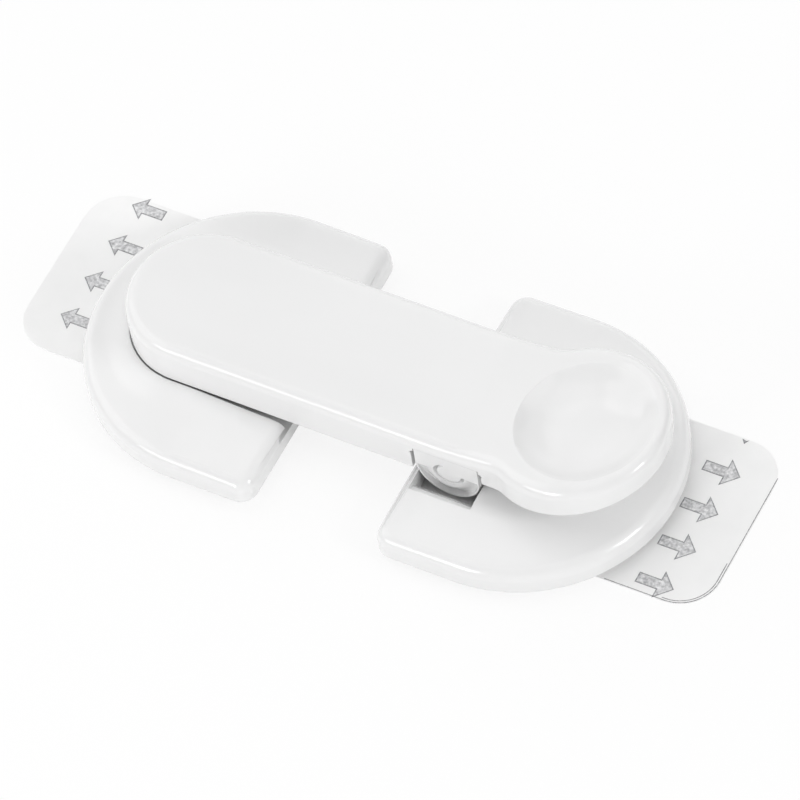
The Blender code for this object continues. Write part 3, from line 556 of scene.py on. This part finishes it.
def dressed(name, node, skin, added=None):
    """A CAD node's shape, with what is added, taken down to the finer skin just inside its faces."""
    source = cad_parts[node].data
    bm = bmesh.new()
    verts = [bm.verts.new(v.co) for v in source.vertices]
    for polygon in source.polygons:
        bm.faces.new([verts[i] for i in polygon.vertices])
    bmesh.ops.remove_doubles(bm, verts=bm.verts, dist=WELD)
    solid = mesh_object(name + "_solid", bm)
    if added:
        solid = combined(solid, added, "UNION", name + "_solid")
    piece = combined(solid, skin, "INTERSECT", name)
    piece.data.materials.clear()
    return shade(piece)


def take(piece, material, body, slot, *nodes):
    piece.data.materials.clear()
    piece.data.materials.append(material)
    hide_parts(*nodes)
    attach(piece, body)


def new_material(name):
    material = bpy.data.materials.new(name)
    material.use_nodes = True
    tree = material.node_tree
    return material, tree, tree.nodes["Principled BSDF"]


def noise(tree, scale, detail=2.0, stretch=(1, 1, 1)):
    """Noise in the piece's own coordinates, with the scale in grains a metre."""
    where = tree.nodes.new("ShaderNodeTexCoord")
    mapping = tree.nodes.new("ShaderNodeMapping")
    mapping.inputs["Scale"].default_value = stretch
    texture = tree.nodes.new("ShaderNodeTexNoise")
    texture.inputs["Scale"].default_value = scale
    texture.inputs["Detail"].default_value = detail
    tree.links.new(where.outputs["Object"], mapping.inputs["Vector"])
    tree.links.new(mapping.outputs["Vector"], texture.inputs["Vector"])
    return texture.outputs["Fac"]


def ramp(tree, source, low, high):
    """The source mapped to a range of values."""
    node = tree.nodes.new("ShaderNodeMapRange")
    node.inputs["From Min"].default_value = NOISE_LOW
    node.inputs["From Max"].default_value = NOISE_HIGH
    node.inputs["To Min"].default_value = low
    node.inputs["To Max"].default_value = high
    tree.links.new(source, node.inputs["Value"])
    return node.outputs["Result"]


def tint(tree, source, low, high):
    """The source turned into a colour between two."""
    node = tree.nodes.new("ShaderNodeValToRGB")
    node.color_ramp.elements[0].position = NOISE_LOW
    node.color_ramp.elements[1].position = NOISE_HIGH
    node.color_ramp.elements[0].color = (*low, 1)
    node.color_ramp.elements[1].color = (*high, 1)
    tree.links.new(source, node.inputs["Fac"])
    return node.outputs["Color"]


def varied(tree, source, tone, darker, lighter):
    """The source turned into a colour round a tone."""
    return tint(tree, source, [t - darker for t in tone], [t + lighter for t in tone])


def bump(tree, source, strength, distance, softened=None):
    """Normals raised by the source, over normals that are softened already, if any."""
    node = tree.nodes.new("ShaderNodeBump")
    node.inputs["Strength"].default_value = strength
    node.inputs["Distance"].default_value = distance
    tree.links.new(source, node.inputs["Height"])
    if softened:
        tree.links.new(softened, node.inputs["Normal"])
    return node.outputs["Normal"]


def soft_edges(tree, radius):
    """Normals rounded over the edges, as every moulded edge is."""
    node = tree.nodes.new("ShaderNodeBevel")
    node.samples = EDGE_SAMPLES
    node.inputs["Radius"].default_value = radius
    return node.outputs["Normal"]


def gloss_plastic(name, tone, roughness, edge):
    """Polished white moulding: faint flow tint, patchy gloss and a very low orange peel."""
    material, tree, shader = new_material(name)
    flow = noise(tree, scale=45.0, detail=3.0, stretch=(0.4, 1, 1))
    tree.links.new(varied(tree, flow, tone, darker=0.012, lighter=0.008), shader.inputs["Base Color"])
    patches = noise(tree, scale=160.0, detail=4.0)
    tree.links.new(ramp(tree, patches, roughness - 0.03, roughness + 0.04), shader.inputs["Roughness"])
    peel = noise(tree, scale=900.0, detail=1.0)
    normal = bump(tree, peel, strength=0.04, distance=0.05 * MM, softened=soft_edges(tree, edge))
    tree.links.new(normal, shader.inputs["Normal"])
    shader.inputs["IOR"].default_value = 1.5
    shader.inputs["Coat Weight"].default_value = 0.15
    shader.inputs["Coat Roughness"].default_value = 0.06
    return material


def matte_plastic(name, tone, edge):
    """Spark-eroded moulding: fine even grain."""
    material, tree, shader = new_material(name)
    grain = noise(tree, scale=4200.0, detail=2.0)
    cloud = noise(tree, scale=70.0, detail=3.0)
    tree.links.new(varied(tree, cloud, tone, darker=0.02, lighter=0.01), shader.inputs["Base Color"])
    tree.links.new(ramp(tree, grain, low=0.42, high=0.55), shader.inputs["Roughness"])
    normal = bump(tree, grain, strength=0.25, distance=0.06 * MM, softened=soft_edges(tree, edge))
    tree.links.new(normal, shader.inputs["Normal"])
    return material


def paper(name, tone):
    """Coated release paper: fine fibre, faint cloudiness, a soft sheen."""
    material, tree, shader = new_material(name)
    fibre = noise(tree, scale=2600.0, detail=4.0, stretch=(1, 0.35, 1))
    cloud = noise(tree, scale=120.0, detail=3.0)
    tree.links.new(varied(tree, cloud, tone, darker=0.02, lighter=0.012), shader.inputs["Base Color"])
    tree.links.new(ramp(tree, cloud, low=0.42, high=0.58), shader.inputs["Roughness"])
    tree.links.new(bump(tree, fibre, strength=0.12, distance=0.03 * MM), shader.inputs["Normal"])
    return material


def ink_and_shade(name, dark, light, scale):
    """Thin mottled grey that covers the paper unevenly: print for the arrows, painted shadow for the line at
    the catch liner's edge.
    """
    material, tree, shader = new_material(name)
    mottle = noise(tree, scale, detail=5.0)
    tree.links.new(tint(tree, mottle, dark, light), shader.inputs["Base Color"])
    tree.links.new(ramp(tree, mottle, low=0.5, high=0.7), shader.inputs["Roughness"])
    return material


def foam(name):
    """Closed-cell foam: packed cells that show as pits on the cut edge, each pit darkened with painted shade.
    """
    material, tree, shader = new_material(name)
    where = tree.nodes.new("ShaderNodeTexCoord")
    cells = tree.nodes.new("ShaderNodeTexVoronoi")
    cells.inputs["Scale"].default_value = 3200.0
    tree.links.new(where.outputs["Object"], cells.inputs["Vector"])
    distance = cells.outputs["Distance"]
    # Painted shade: darker towards each cell's middle, where the bump sinks the pit
    tree.links.new(tint(tree, distance, FOAM_PIT_SHADE, FOAM_WALL), shader.inputs["Base Color"])
    tree.links.new(bump(tree, distance, strength=0.5, distance=0.12 * MM), shader.inputs["Normal"])
    shader.inputs["Roughness"].default_value = 0.9
    return material


def steel(name, tone, roughness, stretch):
    """Bright metal with fine lines along its working direction."""
    material, tree, shader = new_material(name)
    lines = noise(tree, scale=1500.0, detail=4.0, stretch=stretch)
    tree.links.new(varied(tree, lines, tone, darker=0.06, lighter=0.04), shader.inputs["Base Color"])
    tree.links.new(ramp(tree, lines, roughness - 0.05, roughness + 0.1), shader.inputs["Roughness"])
    tree.links.new(bump(tree, lines, strength=0.1, distance=0.02 * MM), shader.inputs["Normal"])
    shader.inputs["Metallic"].default_value = 1.0
    return material


def repaint(node, material):
    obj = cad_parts[node]
    obj.data.materials.clear()
    obj.data.materials.append(material)
    shade(obj)


def arrow_outline(length, width, shaft_width, head_length, grow):
    """An arrow's outline with its tip at the origin, pointing along X, grown all round."""
    head = width / 2
    shaft = shaft_width / 2 + grow
    slant = grow * math.hypot(head_length, head) / head
    neck = head_length + grow
    flare = head + grow + grow * head / head_length
    return [
        (slant, 0), (-neck, flare), (-neck, shaft), (-length - grow, shaft),
        (-length - grow, -shaft), (-neck, -shaft), (-neck, -flare),
    ]


def arrow_row(row, grow):
    """The outlines of a row of arrows."""
    start, way, length, width, shaft_width, head_length, pitch = row
    points = arrow_outline(length, width, shaft_width, head_length, grow)
    outlines = []
    for index in range(ARROWS_IN_ROW):
        tip = start + Vector((ARROW_DRIFT * index, -pitch * index))
        outlines.append([(tip.x + way * x, tip.y + y) for x, y in points])
    return outlines


def liner_edge_shadow():
    """The painted shadow line just inside the catch liner's outer edge, broken into two strokes: a dark grey
    strip where there is only the shade of the liner's edge.
    """
    low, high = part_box("catch_release_liner")
    corner = LINER_CORNER
    strokes = []
    for inset, far, near in EDGE_SHADOW_STROKES:
        sides = []
        for more in (inset, inset + EDGE_SHADOW_WIDTH):
            line = [(near, low.y + more)]
            line += arc(high.x - corner, low.y + corner, corner - more, 270, 360, CORNER_STEPS)
            line += [(high.x - more, far)]
            sides.append(line)
        strokes.append(sides[0] + sides[1][::-1])
    return strokes


def flat_marks(name, outlines, low, high, material):
    """Flat shapes as one piece, for the printed arrows and for the painted shadow line at the catch liner's
    edge.
    """
    bm = bmesh.new()
    for outline in outlines:
        closed_faces(bm, [[bm.verts.new((x, y, z)) for x, y in outline] for z in (low, high)])
    bmesh.ops.recalc_face_normals(bm, faces=bm.faces)
    piece = mesh_object(name, bm)
    piece.data.materials.append(material)
    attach(piece, "bases")
    return piece


def foam_piece(name, node, material):
    """A die-cut foam pad: flat faces, cut edge bulged by the pressure of the base."""
    low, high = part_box(node)
    bm = bmesh.new()
    rings = []
    for k in range(FOAM_ROWS + 1):
        share = k / FOAM_ROWS
        radius = FOAM_CORNER + FOAM_BULGE * (math.sin(math.pi * share) - 1)
        z = low.z + (high.z - low.z) * share
        outline = []
        for sx, sy, start in ((1, 1, 0), (-1, 1, 90), (-1, -1, 180), (1, -1, 270)):
            cx = (high.x if sx > 0 else low.x) - sx * FOAM_CORNER
            cy = (high.y if sy > 0 else low.y) - sy * FOAM_CORNER
            outline += arc(cx, cy, radius, start, start + 90, CORNER_STEPS)
        rings.append([bm.verts.new((x, y, z)) for x, y in outline])
    piece = shade(stacked(name, bm, rings))
    take(piece, material, "bases", "foam", node)
    return piece


def camera():
    data = bpy.data.cameras.new("camera")
    data.sensor_width = SENSOR
    data.lens = FOCAL_SHARE * SENSOR
    data.clip_start = CLIP_NEAR
    data.clip_end = CLIP_FAR
    obj = link(bpy.data.objects.new("camera", data))
    a, e = CAMERA_AZIMUTH, CAMERA_ELEVATION
    back = Vector((math.sin(a) * math.cos(e), -math.cos(a) * math.cos(e), math.sin(e)))
    right = Vector((math.cos(a), math.sin(a), 0))
    up = back.cross(right)
    c, s = math.cos(CAMERA_ROLL), math.sin(CAMERA_ROLL)
    turned_right = right * c + up * s
    turned_up = up * c - right * s
    place = Matrix((turned_right, turned_up, back)).transposed().to_4x4()
    place.translation = CAMERA_TARGET + back * CAMERA_DISTANCE
    obj.matrix_world = place
    bpy.context.scene.camera = obj


def softbox(name, way, size, power):
    """An area light at the lights' distance that faces the object."""
    data = bpy.data.lights.new(name, "AREA")
    data.shape = "RECTANGLE"
    data.size, data.size_y = size
    data.energy = power
    obj = link(bpy.data.objects.new(name, data))
    obj.location = Vector(way).normalized() * LIGHT_DISTANCE
    obj.rotation_euler = (-obj.location).to_track_quat("-Z", "Y").to_euler()


def eased(tree, source, span, ends):
    """The source's span eased between two ends, each a number or a node's output."""
    node = tree.nodes.new("ShaderNodeMapRange")
    node.interpolation_type = "SMOOTHSTEP"
    tree.links.new(source, node.inputs["Value"])
    for key, value in zip(("From Min", "From Max", "To Min", "To Max"), (*span, *ends)):
        if isinstance(value, float):
            node.inputs[key].default_value = value
        else:
            tree.links.new(value, node.inputs[key])
    return node.outputs["Result"]


def surroundings(tree):
    """Pale surroundings, brighter low at the back left and darker low at the back right."""
    where = tree.nodes.new("ShaderNodeTexCoord")
    parts = tree.nodes.new("ShaderNodeSeparateXYZ")
    tree.links.new(where.outputs["Generated"], parts.inputs["Vector"])
    front = eased(tree, parts.outputs["X"], SKY_TURN, SKY_FRONT)
    back = eased(tree, parts.outputs["X"], SKY_TURN, SKY_BACK)
    low = eased(tree, parts.outputs["Y"], SKY_TURN, (front, back))
    strength = eased(tree, parts.outputs["Z"], SKY_RISE, (low, SKY_HIGH))
    background = tree.nodes["Background"]
    background.inputs["Color"].default_value = (1, 1, 1, 1)
    tree.links.new(strength, background.inputs["Strength"])


def math_node(tree, operation, first, second):
    """A Math node with a node's output first and a node's output or a number second."""
    node = tree.nodes.new("ShaderNodeMath")
    node.operation = operation
    tree.links.new(first, node.inputs[0])
    if isinstance(second, float):
        node.inputs[1].default_value = second
    else:
        tree.links.new(second, node.inputs[1])
    return node.outputs[0]


def floor_material():
    """Pale floor that takes the object's shadow and shows as white to the camera and in reflections."""
    material, tree, shader = new_material("floor_white")
    shader.inputs["Base Color"].default_value = (FLOOR_TONE, FLOOR_TONE, FLOOR_TONE, 1)
    shader.inputs["Roughness"].default_value = 0.9
    shader.inputs["Specular IOR Level"].default_value = 0.0
    glow = tree.nodes.new("ShaderNodeEmission")
    glow.inputs["Color"].default_value = (1, 1, 1, 1)
    glow.inputs["Strength"].default_value = 1.0
    path = tree.nodes.new("ShaderNodeLightPath")
    seen = math_node(tree, "MAXIMUM", path.outputs["Is Camera Ray"], path.outputs["Is Glossy Ray"])
    seen = math_node(tree, "MAXIMUM", seen, path.outputs["Is Transmission Ray"])
    mix = tree.nodes.new("ShaderNodeMixShader")
    tree.links.new(math_node(tree, "MULTIPLY", seen, FLOOR_WHITE_SHARE), mix.inputs[0])
    tree.links.new(shader.outputs[0], mix.inputs[1])
    tree.links.new(glow.outputs[0], mix.inputs[2])
    tree.links.new(mix.outputs[0], tree.nodes["Material Output"].inputs["Surface"])
    return material


def studio():
    """White floor, pale surroundings, softboxes all round and small lamps at the front and right."""
    bpy.context.scene.view_settings.view_transform = "Standard"
    bm = bmesh.new()
    bmesh.ops.create_grid(bm, x_segments=1, y_segments=1, size=FLOOR_HALF_SIZE)
    floor = mesh_object("floor", bm)
    floor.location.z = -FLOOR_DROP
    floor.data.materials.append(floor_material())

    world = bpy.data.worlds.new("studio")
    bpy.context.scene.world = world
    world.use_nodes = True
    surroundings(world.node_tree)
    for light in LIGHTS:
        softbox(*light)


def main():
    base_white = gloss_plastic("base_gloss_white", PLASTIC_WHITE, BASE_ROUGHNESS, MOULDED_EDGE)
    arm_white = gloss_plastic("arm_gloss_white", PLASTIC_WHITE, ARM_ROUGHNESS, MOULDED_EDGE)
    tab_white = gloss_plastic("tab_gloss_white", PLASTIC_WHITE, TAB_ROUGHNESS, TAB_EDGE)
    plate_white = matte_plastic("plate_matte_white", PLATE_WHITE, PLATE_EDGE)
    liner_white = paper("liner_coated_paper", PAPER_WHITE)
    foam_white = foam("foam_white")
    screw_metal = steel("screw_zinc", ZINC, roughness=0.3, stretch=(1, 1, 1))
    pin_metal = steel("pin_ground_steel", GROUND_STEEL, roughness=0.25, stretch=(4, 0.1, 4))
    grey_ink = ink_and_shade("arrow_grey", INK_DARK, INK_LIGHT, scale=1300.0)
    # The arrows' printed outlines and the painted shadow line at the catch liner's edge share this grey
    edge_ink_and_shadow = ink_and_shade("arrow_edge_and_liner_shadow_grey", EDGE_INK_AND_SHADOW_DARK, EDGE_INK_AND_SHADOW_LIGHT, scale=2200.0)

    arm = dressed("arm_moulding", "arm_shell", arm_skin())
    take(arm, arm_white, "arm", "arm_plastic", "arm_shell")

    hinge_skin = combined(base_skin(-1), block("lug_room", *LUG_ROOM), "UNION", "hinge_skin")
    hinge = dressed("hinge_base_moulding", "hinge_base", hinge_skin, brim())
    take(hinge, base_white, "bases", "base_plastic", "hinge_base")
    catch = dressed("catch_base_moulding", "catch_base", base_skin(1))
    take(catch, base_white, "bases", "base_plastic", "catch_base")

    foam_piece("hinge_foam", "hinge_foam_pad", foam_white)
    foam_piece("catch_foam", "catch_foam_pad", foam_white)

    for node in ("hinge_base_plate", "catch_base_plate", "arm_cover"):
        repaint(node, plate_white)
    for end, side in (("front", -1), ("rear", 1)):
        tab = tab_piece(end + "_tab_moulding", side)
        take(tab, tab_white, end + "_tab", "arm_plastic", end + "_release_tab")
    for node in ("hinge_release_liner", "catch_release_liner"):
        repaint(node, liner_white)
    for index in range(4):
        repaint("cover_screw_%d" % (index + 1), screw_metal)
    repaint("hinge_pin", pin_metal)

    liner_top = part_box("catch_release_liner")[1].z
    under = (liner_top + INK_THICKNESS / 4, liner_top + INK_THICKNESS)
    over = (liner_top + INK_THICKNESS / 2, liner_top + 2 * INK_THICKNESS)
    for name, row in ARROW_ROWS.items():
        flat_marks(name + "_edge", arrow_row(row, ARROW_EDGE / 2), *under, edge_ink_and_shadow)
        flat_marks(name, arrow_row(row, -ARROW_EDGE / 2), *over, grey_ink)
    flat_marks("arrow_end", [ARROW_END], *under, edge_ink_and_shadow)
    # Painted shadow: a dark strip along the catch liner's edge, where there is only the shade of the edge
    flat_marks("liner_edge_painted_shadow", liner_edge_shadow(), *under, edge_ink_and_shadow)

    camera()
    studio()


main()
